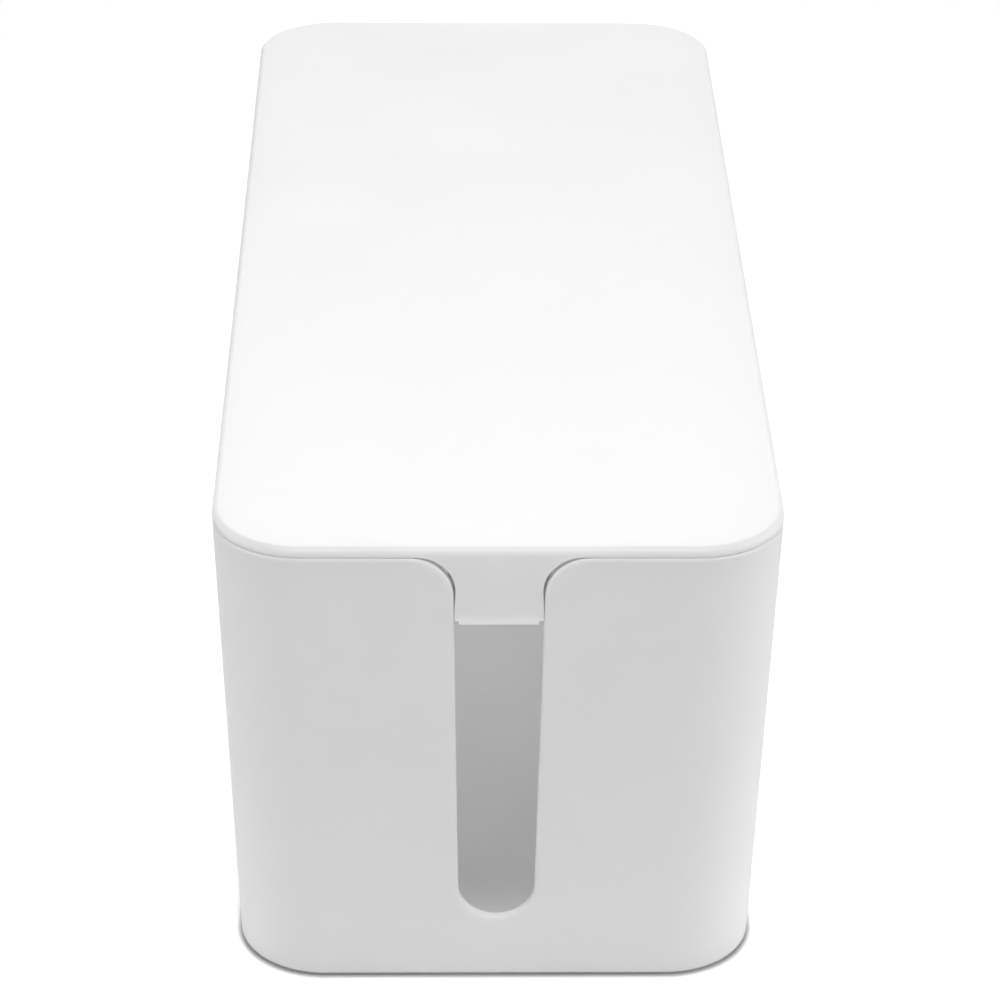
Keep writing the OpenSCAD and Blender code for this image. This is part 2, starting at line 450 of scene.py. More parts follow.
class TubLine:
    """A line down both faces of the tub's wall, with the round of the base's edge
    and the round into the floor. It starts from the strips over the wall's edge:
    one strip at the rim, or all those down one side of a slot."""

    def __init__(self, skin, shape, strips, place, normal, twin=None):
        """A twin is the line down a slot's other side, with the same lowest stretch."""
        tub, path = shape.tub, slot_path(shape)
        floor_z, done = tub.base + tub.floor, len(strips)
        if twin:
            self.low_out, self.low_in = twin.low_out, twin.low_in
            self.base, self.floor = twin.base, twin.floor
        else:
            out = wall_levels(path, tub.outer_round, tub.base + tub.base_round)[done:-1]
            into = wall_levels(path, tub.inner_round, floor_z + tub.floor_round)[done:-1]
            self.low_out = [skin.point(place(z, 0), normal) for z in out]
            self.low_in = [skin.point(place(z, tub.wall), -normal) for z in into]
            self.base = skin.rounded(lambda away, depth: place(tub.base + away, depth),
                                     normal, -UP, tub.base_round, SMALL_STEPS)
            self.floor = skin.rounded(lambda away, depth: place(floor_z + away, tub.wall + depth),
                                      -normal, UP, tub.floor_round, FLOOR_STEPS)
        self.outer = [strip[0] for strip in strips] + self.low_out + [self.base[0]]
        self.inner = [strip[-1] for strip in strips] + self.low_in + [self.floor[0]]

    def join(self, skin, other):
        """Fills the stretch of wall, base and floor as far as another line."""
        for name in ("outer", "inner", "base", "floor"):
            skin.bridge(getattr(self, name), getattr(other, name))


def column_line(skin, shape, column):
    """The strip over the rim at a column, and the line below it."""
    tub, normal = shape.tub, shape.outward(*column[2:])

    def place(z, depth):
        return shape.on_column(column, z, depth)

    strip = wall_strip(skin, tub, lambda away, depth: place(tub.rim - away, depth), normal, -UP)
    return strip, TubLine(skin, shape, [strip], place, normal)


def slot_lines(skin, shape, end):
    """The strips round the slot in one end, from right to left, and the lines down
    its right and its left side, which share their lowest stretch."""
    path = slot_path(shape)

    def strips(side, points):
        return [wall_strip(skin, shape.tub, *edge_on_end(shape, end, side, *point))
                for point in points]

    def place(z, depth):
        return shape.on_end(end, 0, z, depth)

    right = strips(1, path)
    left = strips(-1, path[:-1]) + [right[-1]]
    right_line = TubLine(skin, shape, right, place, shape.outward(0, end))
    left_line = TubLine(skin, shape, left, place, shape.outward(0, end), right_line)
    return right + left[-2::-1], {1: right_line, -1: left_line}


def sink_seats(skin, ring, seats, radius, base_z, depth):
    """The flat underside inside a ring of points, with a round seat sunk into it
    at each place for a foot."""
    rings = []
    for seat in seats:
        spokes = spokes_round(SEAT_STEPS)
        low, high = (
            [skin.point(seat + spoke * radius + UP * z, -spoke) for spoke in spokes]
            for z in (base_z, base_z + depth)
        )
        for i in range(SEAT_STEPS):
            j = (i + 1) % SEAT_STEPS
            skin.face([low[i], low[j], high[j], high[i]])
        skin.face(high, -UP)
        rings.append(low)
    corners = ring + sum(rings, [])
    edges, start = [], 0        # the ring and the seats' edges, as pairs of corners
    for closed in [ring] + rings:
        count = len(closed)
        edges += [(start + i, start + (i + 1) % count) for i in range(count)]
        start += count
    flat = [skin.points[c].xy for c in corners]
    _, _, triangles, sources, _, _ = delaunay_2d_cdt(flat, edges, [], 1, TINY)
    for triangle in triangles:
        used = [corners[sources[v][0]] for v in triangle]
        over_seat = any(set(used) <= set(low) for low in rings)
        if not over_seat:
            skin.face(used, -UP)


def make_tub():
    """The whole tub as one closed skin."""
    shape, skin = Shape(), Skin()
    tub = shape.tub
    strips, lines, slot_strips, slot_sides = {}, {}, {}, {}
    for side in ENDS:
        half = [column_line(skin, shape, column) for column in half_columns(side)]
        strips[side], lines[side] = zip(*half)
    for end in ENDS:
        slot_strips[end], slot_sides[end] = slot_lines(skin, shape, end)
    for side in ENDS:
        for line, following in zip(lines[side], lines[side][1:]):
            line.join(skin, following)
        # Each half runs from the end of the other sign to the end of its own.
        slot_sides[side][side].join(skin, lines[side][-1])
        slot_sides[-side][side].join(skin, lines[side][0])
    skin.loop([*strips[1], *slot_strips[1], *strips[-1], *slot_strips[-1][::-1]])
    order = [*lines[1], slot_sides[1][1], *lines[-1], slot_sides[-1][1]]
    skin.face([line.floor[-1] for line in order])
    seats = [Vector((x * FOOT_PLACE.x, y * FOOT_PLACE.y, 0)) for x in ENDS for y in ENDS]
    radius = FOOT_RADIUS + bpy.context.scene.cable_feet.gap
    ring = [line.base[-1] for line in order]
    sink_seats(skin, ring, seats, radius, tub.base, FOOT_HIGH.z - tub.base)
    return skin


# ---- lid


def tongue_path(shape):
    """Right half of a tongue's edge, from the lid's underside to the middle of its
    lower end: a fillet, a side that closes on the slot, and a small step."""
    lid = shape.lid
    low, top = lid.tongue_low, shape.tub.rim - lid.fillet
    shoulder = low + lid.step_height
    r = lid.step_round
    taper = math.tan(shape.slot.taper)
    spare, run = lid.tongue_gap - lid.closing_gap, lid.closing_top - lid.closing_low

    def side(z):
        """Point on the side at a height, and its direction into the tongue."""
        share = min(1, max(0, (z - shoulder - lid.closing_low) / run))
        opened, slope = share ** 2 * (3 - 2 * share), 6 * share * (1 - share) / run
        point = Vector((shape.slot_half(z) - lid.closing_gap - spare * opened, z))
        return point, Vector((-1, taper - spare * slope)).normalized()

    half, foot = side(top)[0].x, side(shoulder + r)[0].x
    neck = foot - lid.step_width
    path = arc((half + lid.fillet, top), lid.fillet, 90, 180, FLARE_STEPS, False)
    path += [side(top + (shoulder + r - top) * share) for share in shares(TONGUE_STEPS)[1:-1]]
    path += arc((foot - r, shoulder + r), r, 0, -90, SMALL_STEPS, True)
    path += arc((neck + r, shoulder - r), r, 90, 180, SMALL_STEPS, False)
    path += arc((neck - r, low + r), r, 0, -90, SMALL_STEPS, True)
    return path + [(Vector((0, low)), Vector((0, 1)))]


class LidLine:
    """A line down the lid's edge: the round of the upper edge, the round of the lower
    one, and where the line meets the underside. Beside a tongue, a strip over the
    tongue's edge is the lower round, and runs on to the tongue's back."""

    def __init__(self, skin, shape, place, direction, strip=None):
        lid, rim = shape.lid, shape.tub.rim
        upper = skin.rounded(lambda away, depth: place(LID_HIGH.z - away, depth),
                             direction, UP, lid.edge_round, TOP_STEPS)
        self.at_tongue = strip is not None
        if self.at_tongue:
            self.lower, self.under = strip[:-1], strip[-2:]
        else:
            self.lower = skin.rounded(lambda away, depth: place(rim + away, depth),
                                      direction, -UP, lid.lower_round, LOWER_STEPS)
            self.under = self.lower[-1:]
        self.upper = upper[::-1] + self.lower[:1]


def tongue_strips(skin, shape, end, side, points):
    """Rows of points over a tongue's edge, from its outer face to its back. The
    tongue stands back with the lid's end, and its lower end curls out as a grip."""
    lid, rows = shape.lid, []

    def sunk(z):
        """Depth and slope of the tongue's face at a height."""
        share = max(0, 1 - (z - lid.tongue_low) / lid.grip_height)
        return lid.setback - lid.grip * share ** 2, -2 * lid.grip * share / lid.grip_height

    for point in points:
        place, normal, into = edge_on_end(shape, end, side, *point, sunk)
        row = skin.rounded(place, normal, -into, lid.lower_round, LOWER_STEPS)
        rows.append(row + [skin.point(place(0, lid.tongue), -into)])
    return rows


def face_between(skin, right, left, facing):
    """Fills an outline that is the same left and right, level by level from its top.
    The lowest point lies in the middle and belongs to the right half."""

    def height(i):
        return skin.points[right[i]].z

    top = 0
    while top < len(right) - 1:
        low = top + 1
        while low + 1 < len(right) and abs(height(low + 1) - height(top + 1)) < TINY:
            low += 1
        skin.face([right[top], left[top]] + left[top + 1:low + 1] + right[low:top:-1], facing)
        top = low


def lid_end(skin, shape, end):
    """One tongue. Returns the lines of the lid's edge at its right and its left."""
    path = tongue_path(shape)
    right = tongue_strips(skin, shape, end, 1, path)
    left = tongue_strips(skin, shape, end, -1, path[:-1])
    strips = right + left[::-1]
    for strip, following in zip(strips, strips[1:]):
        skin.bridge(strip, following)
    for layer, facing in ((0, None), (-1, -shape.outward(0, end))):
        rows = [[strip[layer] for strip in half] for half in (right, left)]
        face_between(skin, *rows, facing)
    start_x, setback = path[0][0].x, shape.lid.setback
    return [
        LidLine(skin, shape, lambda z, depth: shape.on_end(end, x, z, depth + setback),
                Vector((0, end, 0)), strip)
        for x, strip in ((start_x, strips[0]), (-start_x, strips[-1]))
    ]


def make_lid():
    """The lid's plate and both tongues as one closed skin."""
    shape, skin = Shape(), Skin()
    back = shape.lid.setback
    lines, underside = [], []
    for side in ENDS[::-1]:
        half = [
            LidLine(skin, shape, lambda z, depth: shape.on_column(column, z, depth, setback=back),
                    Vector((*column[2:], 0)))
            for column in half_columns(side)
        ]
        near, far = lid_end(skin, shape, side)[::side]
        lines += half + [near, far]
        underside += [point for line in half + [near] for point in line.under] + far.under[::-1]
    for line, following in zip(lines, lines[1:] + lines[:1]):
        if not (line.at_tongue and following.at_tongue):
            skin.bridge(line.lower, following.lower)
    skin.loop([line.upper for line in lines])
    skin.face([line.upper[0] for line in lines])
    skin.face(underside, -UP)
    return skin


def make_skirt():
    """The skirt under the lid: a bent wall on each side, left out behind the tongues."""
    shape, skin = Shape(), Skin()
    lid, tub = shape.lid, shape.tub
    face, back = tub.wall + lid.skirt_gap, tub.wall + lid.skirt_gap + lid.skirt_wall
    low, top = tub.rim - lid.skirt, tub.rim + EMBED

    def section(place, normal):
        """Row of points over the skirt at a place, from its outer to its inner top."""
        outer = skin.rounded(lambda away, depth: place(low + away, face + depth),
                             normal, -UP, lid.skirt_round, SMALL_STEPS)
        inner = skin.rounded(lambda away, depth: place(low + away, back - depth),
                             -normal, -UP, lid.skirt_round, SMALL_STEPS)
        ends = skin.point(place(top, face), normal), skin.point(place(top, back), -normal)
        return [ends[0]] + outer + inner[::-1] + [ends[1]]

    for side in ENDS:
        x = side * shape.flare_x
        rows = [section(lambda z, depth: shape.on_column(column, z, depth, True),
                        Vector((*column[2:], 0)))
                for column in half_columns(side)]
        first, last = (
            section(lambda z, depth: shape.on_end(end, x, z, depth, True), Vector((0, end, 0)))
            for end in (-side, side)
        )
        rows = [first] + rows + [last]
        for row, following in zip(rows, rows[1:]):
            skin.bridge(row, following)
            skin.face([row[0], row[-1], following[-1], following[0]], UP)
        for row in (first, last):
            skin.face(row, Vector((-side, 0, 0)))
    return skin


def prism(skin, outline, axis, thickness):
    """A flat plate: an outline of places with a thickness along an axis."""
    half = axis * thickness / 2
    near, far = ([skin.point(place + shift, shift) for place in outline] for shift in (-half, half))
    skin.face(near)
    skin.face(far)
    middle = sum(outline, Vector()) / len(outline)
    for i in range(len(outline)):
        j = (i + 1) % len(outline)
        facing = axis.cross(outline[j] - outline[i]).normalized()
        if facing.dot(outline[i] - middle) < 0:
            facing = -facing
        skin.face([near[i], near[j], far[j], far[i]], facing)


def rib_bar(shape, along, span):
    """One rib, centred under the plate and running along an axis."""
    ribs, skin = bpy.context.scene.cable_ribs, Skin()
    low, top = shape.tub.rim - ribs.depth, shape.tub.rim + EMBED
    reach = along * span / 2
    outline = [reach + UP * low, reach + UP * top, UP * top - reach, UP * low - reach]
    prism(skin, outline, along.cross(UP), ribs.wall)
    return skin


def gusset_plate(shape):
    """One gusset behind the front tongue, in the middle of the box's width."""
    ribs, tongue, rim, skin = bpy.context.scene.cable_ribs, shape.lid.tongue, shape.tub.rim, Skin()
    low, top = rim - ribs.gusset, rim + EMBED
    near, tip, far = tongue - EMBED, tongue + EMBED, tongue + ribs.gusset_run
    outline = [shape.on_end(-1, 0, z, depth) for z, depth in (
        (low, near), (rim, near), (top, near), (top, far), (rim, far), (low, tip),
    )]
    prism(skin, outline, ACROSS, ribs.wall)
    return skin


def flange_plate(shape):
    """One flange behind the front tongue, in the middle of the box's width."""
    lid, rim, skin = shape.lid, shape.tub.rim, Skin()
    middle = shape.tub.wall + lid.flange_gap + lid.flange / 2
    low, top, half = lid.tongue_low + lid.flange_low, rim + EMBED, lid.flange_width / 2
    outline = [shape.on_end(-1, x, z, middle) for x, z in (
        (-half, low), (half, low), (half, rim), (half, top), (-half, top), (-half, rim),
    )]
    prism(skin, outline, ALONG, lid.flange)
    return skin


# ---- feet


def make_foot():
    """One foot, turned about the Z axis: a disc with a rounded lower edge."""
    skin, rings = Skin(), []
    edge_round = bpy.context.scene.cable_feet.edge_round
    for spoke in spokes_round(FOOT_STEPS):
        top = skin.point(spoke * FOOT_RADIUS + UP * FOOT_HIGH.z, spoke)
        edge = skin.rounded(lambda away, depth: spoke * (FOOT_RADIUS - depth) + UP * away,
                            spoke, -UP, edge_round, FOOT_EDGE_STEPS)
        rings.append([top] + edge)
    skin.loop(rings)
    skin.face([ring[0] for ring in rings], UP)
    skin.face([ring[-1] for ring in rings], -UP)
    return skin


# ---- nodes


def add(tree, kind, inputs=None, **settings):
    """Adds a node, sets it, and gives each input, by name or number, a value or link."""
    node = tree.nodes.new(kind)
    for name, value in settings.items():
        setattr(node, name, value)
    for name, value in (inputs or {}).items():
        if isinstance(value, bpy.types.NodeSocket):
            tree.links.new(value, node.inputs[name])
        else:
            node.inputs[name].default_value = value
    return node


def copies_tree():
    """Geometry nodes that set copies of a shape side by side and in rows."""
    tree = bpy.data.node_groups.new("Rows of copies", "GeometryNodeTree")
    sockets = {
        "Geometry": "Geometry", "Count in a row": "Int", "Start of a row": "Vector",
        "Step in a row": "Vector", "Rows": "Int", "First row": "Vector",
        "Step between rows": "Vector", "Turn of each row": "Float", "Material": "Material",
    }
    for name, kind in sockets.items():
        tree.interface.new_socket(name, in_out="INPUT", socket_type="NodeSocket" + kind)
    tree.interface.new_socket("Geometry", in_out="OUTPUT", socket_type="NodeSocketGeometry")
    given = add(tree, "NodeGroupInput").outputs
    row = add(tree, "GeometryNodeMeshLine", {
        "Count": given["Count in a row"], "Start Location": given["Start of a row"],
        "Offset": given["Step in a row"],
    })
    rows = add(tree, "GeometryNodeMeshLine", {
        "Count": given["Rows"], "Start Location": given["First row"],
        "Offset": given["Step between rows"],
    })
    index = add(tree, "GeometryNodeInputIndex")
    angle = add(tree, "ShaderNodeMath", {
        0: index.outputs["Index"], 1: given["Turn of each row"],
    }, operation="MULTIPLY")
    turn = add(tree, "ShaderNodeCombineXYZ", {"Z": angle.outputs["Value"]})
    in_row = add(tree, "GeometryNodeInstanceOnPoints", {
        "Points": row.outputs["Mesh"], "Instance": given["Geometry"],
    })
    in_rows = add(tree, "GeometryNodeInstanceOnPoints", {
        "Points": rows.outputs["Mesh"], "Instance": in_row.outputs["Instances"],
        "Rotation": turn.outputs["Vector"],
    })
    real = add(tree, "GeometryNodeRealizeInstances", {"Geometry": in_rows.outputs["Instances"]})
    finished = add(tree, "GeometryNodeSetMaterial", {
        "Geometry": real.outputs["Geometry"], "Material": given["Material"],
    })
    add(tree, "NodeGroupOutput", {"Geometry": finished.outputs["Geometry"]})
    return tree


def spread_copies(piece, values):
    """Sets copies of a piece in rows, and turns the result into its plain mesh."""
    tree = bpy.data.node_groups.get("Rows of copies") or copies_tree()
    modifier = piece.modifiers.new("Copies", "NODES")
    modifier.node_group = tree
    values = {"Material": piece.data.materials[0], **values}
    for item in tree.interface.items_tree:
        if item.in_out == "INPUT" and item.name in values:
            modifier[item.identifier] = values[item.name]
    graph = bpy.context.evaluated_depsgraph_get()
    mesh = bpy.data.meshes.new_from_object(piece.evaluated_get(graph), depsgraph=graph)
    piece.modifiers.clear()
    piece.data = mesh
    mesh.name = piece.name


def line_of(count, span, direction):
    """Start and step of a row of copies that divides a span evenly."""
    step = span / (count + 1)
    return direction * (step - span / 2), direction * step


# ---- materials


def new_material(name):
    """An empty material and its nodes."""
    material = bpy.data.materials.new(name)
    material.use_nodes = True
    material.node_tree.nodes.clear()
    return material, material.node_tree


# Plastic
PLASTIC_IOR = 1.49
LET_THROUGH = 0.21      # share of light that gets past each face of a wall
PLASTIC_GRAIN = 0.45 * MM       # the real grain is nearer 0.1 mm, too fine to show
FLOW = 35 * MM          # width of the streaks in the melt
FLOW_RANGE = 0.3, 0.7   # where the noise that makes the streaks mostly lies
SHEEN_CHANGE = 0.03     # how far the roughness goes up and down along them
DIMMEST = 0.985         # the darkest streak's tone

# Rubber
RUBBER_GRAIN = 0.3 * MM
DUST = 0.15             # how far the tone goes up and down with the grain

# Desk: distances from the line under the box's lower edge, and tones
POOL = 300 * MM         # width of the pool of light near the box
SIDES = -5 * MM, 1 * MM, 60 * MM        # where the light at the sides starts, is full and ends
FAR = 700 * MM, 1500 * MM       # where the far light starts and is full, from the box's core
MASK = -2.2 * MM, 1.5 * MM      # where the mask that cuts the painted glow at the box's edge ends, and where the light is full
PAINTED_SHADOW_LINE = 0.42, 1.6 * MM   # tone of the painted contact shadow, a dark line at the edge, and half its width
PAINTED_EDGE_SHADE = 0.9, 12 * MM     # tone of the painted shade on the desk near the edge, and how far it takes to fade
UNDER_FADE = 9 * MM     # where the light under the box ends, from the box's core
UNDER_GLOW = 40 * MM, 300 * MM        # where the painted glow under the box is full and ends, from its middle


def moulded_plastic(name, shade, roughness):
    """White polypropylene, injection moulded in a finely eroded tool. The eye gets a
    soft satin sheen without sharp reflections, a grain just finer than it can make
    out, and flow in the melt that shifts the sheen a little from place to place."""
    material, tree = new_material(name)
    place = add(tree, "ShaderNodeTexCoord").outputs["Object"]
    grains = add(tree, "ShaderNodeTexNoise", {
        "Vector": place, "Scale": 1 / PLASTIC_GRAIN, "Detail": 3, "Roughness": 0.6,
    })
    flows = add(tree, "ShaderNodeTexNoise", {
        "Vector": place, "Scale": 1 / FLOW, "Detail": 2, "Roughness": 0.5,
    })
    sheen, tone = (
        add(tree, "ShaderNodeMapRange", {
            "Value": flows.outputs["Fac"], "From Min": FLOW_RANGE[0], "From Max": FLOW_RANGE[1],
            "To Min": least, "To Max": most,
        })
        for least, most in ((roughness - SHEEN_CHANGE, roughness + SHEEN_CHANGE), (DIMMEST, 1.0))
    )
    mottle = add(tree, "ShaderNodeVectorMath", operation="SCALE", inputs={
        "Vector": shade, "Scale": tone.outputs["Result"],
    })
    relief = add(tree, "ShaderNodeBump", {
        "Height": grains.outputs["Fac"], "Strength": 0.12, "Distance": 0.02 * MM,
    })
    skin = add(tree, "ShaderNodeBsdfPrincipled", {
        "Base Color": mottle.outputs["Vector"], "Roughness": sheen.outputs["Result"],
        "IOR": PLASTIC_IOR, "Normal": relief.outputs["Normal"],
    })
    body = add(tree, "ShaderNodeBsdfTranslucent", {"Color": mottle.outputs["Vector"]})
    surface = add(tree, "ShaderNodeMixShader", {
        "Fac": LET_THROUGH, 1: skin.outputs["BSDF"], 2: body.outputs["BSDF"],
    })
    add(tree, "ShaderNodeOutputMaterial", {"Surface": surface.outputs["Shader"]})
    return material


def moulded_rubber(name, shade):
    """Grey rubber, compression moulded. The eye gets a dull, slightly dusty skin."""
    material, tree = new_material(name)
    place = add(tree, "ShaderNodeTexCoord").outputs["Object"]
    grains = add(tree, "ShaderNodeTexNoise", {
        "Vector": place, "Scale": 1 / RUBBER_GRAIN, "Detail": 3, "Roughness": 0.65,
    })
    dust = add(tree, "ShaderNodeMapRange", {
        "Value": grains.outputs["Fac"], "To Min": 1 - DUST, "To Max": 1 + DUST,
    })
    dusty = add(tree, "ShaderNodeVectorMath", operation="SCALE", inputs={
        "Vector": shade, "Scale": dust.outputs["Result"],
    })
    relief = add(tree, "ShaderNodeBump", {
        "Height": grains.outputs["Fac"], "Strength": 0.4, "Distance": 0.05 * MM,
    })
    surface = add(tree, "ShaderNodeBsdfPrincipled", {
        "Base Color": dusty.outputs["Vector"], "Roughness": 0.78, "IOR": 1.52,
        "Normal": relief.outputs["Normal"],
    })
    add(tree, "ShaderNodeOutputMaterial", {"Surface": surface.outputs["BSDF"]})
    return material


def lit_acrylic(name, shade, stage):
    """Opal acrylic sheet whose emission is painted glow, strongest near the box, along its sides,
    far off and under the box, where it lights the box's inside. A mask cuts the glow at the box's
    lower edge, and a painted shadow, a soft grey line with a fading halo, darkens the sheet's
    colour there. The eye gets an even white with no edge, and a painted contact shadow."""
    material, tree = new_material(name)
    shape = Shape()
    edge = shape.tub.corner
    core = Vector((shape.corner_x - shape.tub.lean, shape.corner_y - shape.tub.lean, 0))
    place = add(tree, "ShaderNodeTexCoord").outputs["Object"]
    off_middle = add(tree, "ShaderNodeVectorMath", {0: place}, operation="LENGTH")
    folded = add(tree, "ShaderNodeVectorMath", {0: place}, operation="ABSOLUTE")
    past = add(tree, "ShaderNodeVectorMath", {
        0: folded.outputs["Vector"], 1: core,
    }, operation="SUBTRACT")
    beyond = add(tree, "ShaderNodeVectorMath", {0: past.outputs["Vector"]}, operation="MAXIMUM")
    spread = add(tree, "ShaderNodeVectorMath", {0: beyond.outputs["Vector"]}, operation="LENGTH")
    aside = add(tree, "ShaderNodeSeparateXYZ", {"Vector": beyond.outputs["Vector"]})
    off_edge = add(tree, "ShaderNodeMath", {
        0: spread.outputs["Value"], 1: edge,
    }, operation="SUBTRACT")
    off_line = add(tree, "ShaderNodeMath", {0: off_edge.outputs["Value"]}, operation="ABSOLUTE")

    spread, aside = spread.outputs["Value"], aside.outputs["X"]
    off_line, off_middle = off_line.outputs["Value"], off_middle.outputs["Value"]
    fades = {       # what it follows, from and to, its value there, and its kind
        "pool": (spread, edge, edge + POOL, stage.glow + stage.pool, stage.glow, "SMOOTHSTEP"),
        "far": (spread, *FAR, 0, stage.far, "SMOOTHSTEP"),
        "rise": (aside, edge + SIDES[0], edge + SIDES[1], 0, stage.sides, "SMOOTHSTEP"),
        "fall": (aside, edge + SIDES[1], edge + SIDES[2], 1, 0, "LINEAR"),
        "mask": (spread, edge + MASK[0], edge + MASK[1], 0, 1, "LINEAR"),
        # the line and the halo below are painted shade along the box's lower edge
        "line": (off_line, 0, PAINTED_SHADOW_LINE[1], PAINTED_SHADOW_LINE[0], 1, "LINEAR"),
        "painted_edge_shade": (spread, edge, edge + PAINTED_EDGE_SHADE[1], PAINTED_EDGE_SHADE[0], 1, "LINEAR"),
        "under": (spread, 0, UNDER_FADE, 1, 0, "SMOOTHSTEP"),
        # the lamp fade is painted glow that the desk emits under the box, not a real lamp
        "lamp": (off_middle, *UNDER_GLOW, stage.under, 0, "SMOOTHSTEP"),
    }
    parts = {}
    for part, (followed, start, end, first, last, kind) in fades.items():
        parts[part] = add(tree, "ShaderNodeMapRange", {
            "Value": followed, "From Min": start, "From Max": end, "To Min": first, "To Max": last,
        }, interpolation_type=kind).outputs["Result"]
    # all of the desk's glow is painted light that it emits itself, and the painted shadow dims it
    # at the box's edge
    sums = (
        ("even", "ADD", "pool", "far"),
        ("light", "MULTIPLY_ADD", "rise", "fall", "even"),
        ("painted_shadow", "MULTIPLY", "line", "painted_edge_shade"),
        ("cover", "MULTIPLY", "painted_shadow", "mask"),
        ("beneath", "MULTIPLY", "under", "lamp"),
        ("glow", "MULTIPLY_ADD", "light", "cover", "beneath"),
    )
    for part, operation, *terms in sums:
        inputs = dict(enumerate(parts[term] for term in terms))
        parts[part] = add(tree, "ShaderNodeMath", inputs, operation=operation).outputs["Value"]
    # painted shadow: the line and the halo darken the desk's colour along the box's lower edge
    desk_colour_with_painted_shadow = add(tree, "ShaderNodeVectorMath", {
        0: shade, "Scale": parts["painted_shadow"],
    }, operation="SCALE")
    surface = add(tree, "ShaderNodeBsdfPrincipled", {
        "Base Color": desk_colour_with_painted_shadow.outputs["Vector"], "Roughness": 0.6, "IOR": 1.49,
        "Emission Color": (1, 1, 1, 1), "Emission Strength": parts["glow"],
    })
    add(tree, "ShaderNodeOutputMaterial", {"Surface": surface.outputs["BSDF"]})
    return material


def material_for(part):
    """The finish of a part, made once."""
    colours = bpy.context.scene.cable_colours
    if part in bpy.data.materials:
        return bpy.data.materials[part]
    if part == "tub_polypropylene":
        return moulded_plastic(part, colours.tub, roughness=0.5)
    if part == "lid_polypropylene":
        return moulded_plastic(part, colours.lid, roughness=0.52)
    return moulded_rubber(part, colours.foot)


# ---- stage


MIDDLE = 0, 0, 0.08     # the middle of the box
FRONT_END = 0, -0.2, 0.1
SOFTBOXES = {           # where each stands, what it points at, its width and its depth
    "overhead": ((0, -0.42, 1.1), (0, -0.42, 0), 0.5, 0.3),
    "front": ((0, -1.0, 1.9), FRONT_END, 1.4, 0.8),
    "back": ((0, 2.6, 1.0), MIDDLE, 2.4, 1.6),
    "left": ((-2.2, 0, 0.6), MIDDLE, 2.4, 1.0),
    "right": ((2.2, 0, 0.6), MIDDLE, 2.4, 1.0),
}
SENSOR = 36             # the camera's sensor, in millimetres
DESK_REACH = 20         # metres from the box to the desk's rim, far beyond any view
BOUNCES = 16            # light goes back and forth in the closed box before it leaves


def softbox(name, place, aim, width, depth, watts):
    """An oblong light of even brightness, turned towards a point."""
    lamp = bpy.data.lights.new(name, "AREA")
    lamp.shape = "RECTANGLE"
    lamp.size, lamp.size_y = width, depth
    lamp.energy = watts
    light = add_object(name, lamp)
    light.location = place
    light.rotation_euler = (Vector(aim) - Vector(place)).to_track_quat("-Z", "Y").to_euler()
    light.visible_camera = False


def white_surroundings():
    """A white studio round the stage. It is seen, and lights nothing."""
    world = bpy.data.worlds.new("studio")
    bpy.context.scene.world = world
    world.use_nodes = True
    tree = world.node_tree
    tree.nodes.clear()
    seen = add(tree, "ShaderNodeLightPath").outputs["Is Camera Ray"]
    light = add(tree, "ShaderNodeBackground", {"Color": (1, 1, 1, 1), "Strength": seen})
    add(tree, "ShaderNodeOutputWorld", {"Surface": light.outputs["Background"]})


def place_camera(stage):
    """A camera with its heading, downward tilt and roll."""
    lens = bpy.data.cameras.new("camera")
    lens.lens = stage.lens
    lens.sensor_width = SENSOR
    camera = add_object("camera", lens)
    heading, tilt, roll = stage.turn
    turn = (
        Matrix.Rotation(heading, 4, "Z")
        @ Matrix.Rotation(math.pi / 2 - tilt, 4, "X")
        @ Matrix.Rotation(roll, 4, "Z")
    )
    camera.matrix_world = Matrix.Translation(stage.eye) @ turn
    bpy.context.scene.camera = camera


def make_desk(material):
    """The wide flat surface that the box stands on."""
    mesh = bpy.data.meshes.new("desk")
    corners = [Vector((x, y, 0)) * DESK_REACH for x, y in ((-1, -1), (1, -1), (1, 1), (-1, 1))]
    mesh.from_pydata(corners, [], [(0, 1, 2, 3)])
    mesh.materials.append(material)
    desk = add_object("desk", mesh)


# ---- operators


class CABLEBOX_OT_tub(bpy.types.Operator):
    """Adds the tub with its two cable slots"""

    bl_idname = "cablebox.add_tub"
    bl_label = "Add tub"

    def execute(self, context):
        tub = make_tub().build("tub_shell", material_for("tub_polypropylene"))
        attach(tub, "tub")
        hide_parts("tub")
        return {"FINISHED"}


class CABLEBOX_OT_lid(bpy.types.Operator):
    """Adds the lid's plate with its tongues"""

    bl_idname = "cablebox.add_lid"
    bl_label = "Add lid"

    def execute(self, context):
        lid = make_lid().build("lid_shell", material_for("lid_polypropylene"))
        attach(lid, "lid")
        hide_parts("lid")
        return {"FINISHED"}


class CABLEBOX_OT_skirt(bpy.types.Operator):
    """Adds the skirt that locates the lid"""

    bl_idname = "cablebox.add_skirt"
    bl_label = "Add skirt"

    def execute(self, context):
        skirt = make_skirt().build("lid_skirt", material_for("lid_polypropylene"))
        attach(skirt, "lid")
        return {"FINISHED"}


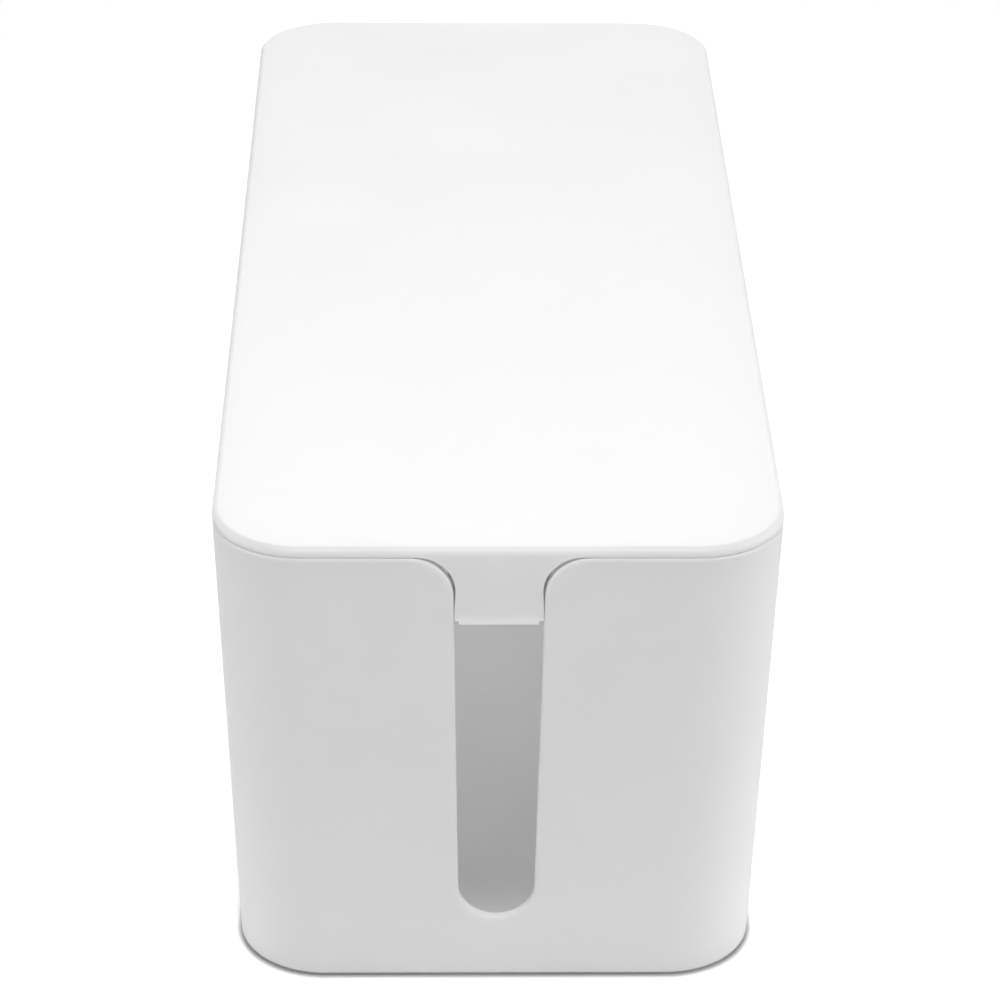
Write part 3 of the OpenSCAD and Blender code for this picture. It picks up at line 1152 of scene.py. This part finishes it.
class CABLEBOX_OT_ribs(bpy.types.Operator):
    """Adds the ribs under the lid and the gussets and flanges behind its tongues"""

    bl_idname = "cablebox.add_ribs"
    bl_label = "Add ribs"

    def execute(self, context):
        shape, ribs = Shape(), context.scene.cable_ribs
        tub, lid = shape.tub, shape.lid
        face = tub.wall + lid.skirt_gap
        span_x = 2 * (tub.half_width - face - lid.skirt_wall / 2)
        span_y = 2 * (tub.half_length - face - ribs.gusset_run - lid.tongue)
        rows = (
            ("lid_ribs_across", ACROSS, span_x, ribs.across, ALONG, span_y),
            ("lid_ribs_along", ALONG, span_y, ribs.along, ACROSS, span_x),
        )
        for name, axis, span, count, step_axis, step_span in rows:
            start, step = line_of(count, step_span, step_axis)
            self.finish(rib_bar(shape, axis, span), name, {
                "Count in a row": count, "Start of a row": start, "Step in a row": step, "Rows": 1,
            })
        flange_x = shape.slot_half(lid.tongue_low) + lid.flange_lap - lid.flange_width / 2
        plates = (
            ("lid_gussets", gusset_plate, ribs.gusset_pitch / 2),
            ("lid_flanges", flange_plate, flange_x),
        )
        for name, make, x in plates:
            self.finish(make(shape), name, {
                "Count in a row": 2, "Start of a row": ACROSS * -x, "Step in a row": ACROSS * 2 * x,
                "Rows": 2, "Turn of each row": math.pi,
            })
        return {"FINISHED"}

    def finish(self, skin, name, values):
        """Rounds a shape's edges, copies it in rows and lets the copies ride the lid."""
        piece = skin.build(name, material_for("lid_polypropylene"))
        bevel = piece.modifiers.new("Edges", "BEVEL")
        bevel.width = bpy.context.scene.cable_ribs.edge
        bevel.segments = 2
        spread_copies(piece, values)
        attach(piece, "lid")


class CABLEBOX_OT_feet(bpy.types.Operator):
    """Adds the four rubber feet in their seats"""

    bl_idname = "cablebox.add_feet"
    bl_label = "Add feet"

    def execute(self, context):
        x, y = FOOT_PLACE.xy
        foot = make_foot().build("feet", material_for("foot_rubber"))
        spread_copies(foot, {
            "Count in a row": 2, "Start of a row": ACROSS * -x, "Step in a row": ACROSS * 2 * x,
            "Rows": 2, "First row": ALONG * -y, "Step between rows": ALONG * 2 * y,
        })
        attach(foot, "tub")
        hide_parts(*FEET)
        return {"FINISHED"}


class CABLEBOX_OT_stage(bpy.types.Operator):
    """Adds the desk, the lights and the camera"""

    bl_idname = "cablebox.add_stage"
    bl_label = "Add stage"

    def execute(self, context):
        stage, colours = context.scene.cable_stage, context.scene.cable_colours
        context.scene.view_settings.view_transform = "Standard"
        context.scene.cycles.max_bounces = BOUNCES
        context.scene.cycles.diffuse_bounces = BOUNCES
        place_camera(stage)
        white_surroundings()
        make_desk(lit_acrylic("lit_acrylic", colours.desk, stage))
        for name, setting in SOFTBOXES.items():
            softbox(name, *setting, getattr(stage, name))
        return {"FINISHED"}


class CABLEBOX_PT_panel(bpy.types.Panel):
    """Lists what builds the cable box"""

    bl_label = "Cable box"
    bl_idname = "CABLEBOX_PT_panel"
    bl_space_type = "VIEW_3D"
    bl_region_type = "UI"
    bl_category = "Cable box"

    def draw(self, context):
        for operator in OPERATORS:
            self.layout.operator(operator.bl_idname)
        for name, group in SETTINGS.items():
            box = self.layout.box()
            for setting in group.__annotations__:
                box.prop(getattr(context.scene, name), setting)


OPERATORS = (
    CABLEBOX_OT_tub,
    CABLEBOX_OT_lid,
    CABLEBOX_OT_skirt,
    CABLEBOX_OT_ribs,
    CABLEBOX_OT_feet,
    CABLEBOX_OT_stage,
)


def register():
    """Makes the sizes, the operators and the panel known."""
    for group in (*SETTINGS.values(), *OPERATORS, CABLEBOX_PT_panel):
        bpy.utils.register_class(group)
    for name, group in SETTINGS.items():
        setattr(bpy.types.Scene, name, PointerProperty(type=group))


def unregister():
    """Takes them away again."""
    for name in SETTINGS:
        delattr(bpy.types.Scene, name)
    for group in reversed((*SETTINGS.values(), *OPERATORS, CABLEBOX_PT_panel)):
        bpy.utils.unregister_class(group)


def main():
    """Builds the box and its stage."""
    register()
    bpy.ops.cablebox.add_tub()
    bpy.ops.cablebox.add_lid()
    bpy.ops.cablebox.add_skirt()
    bpy.ops.cablebox.add_ribs()
    bpy.ops.cablebox.add_feet()
    bpy.ops.cablebox.add_stage()


if __name__ == "__main__":
    main()
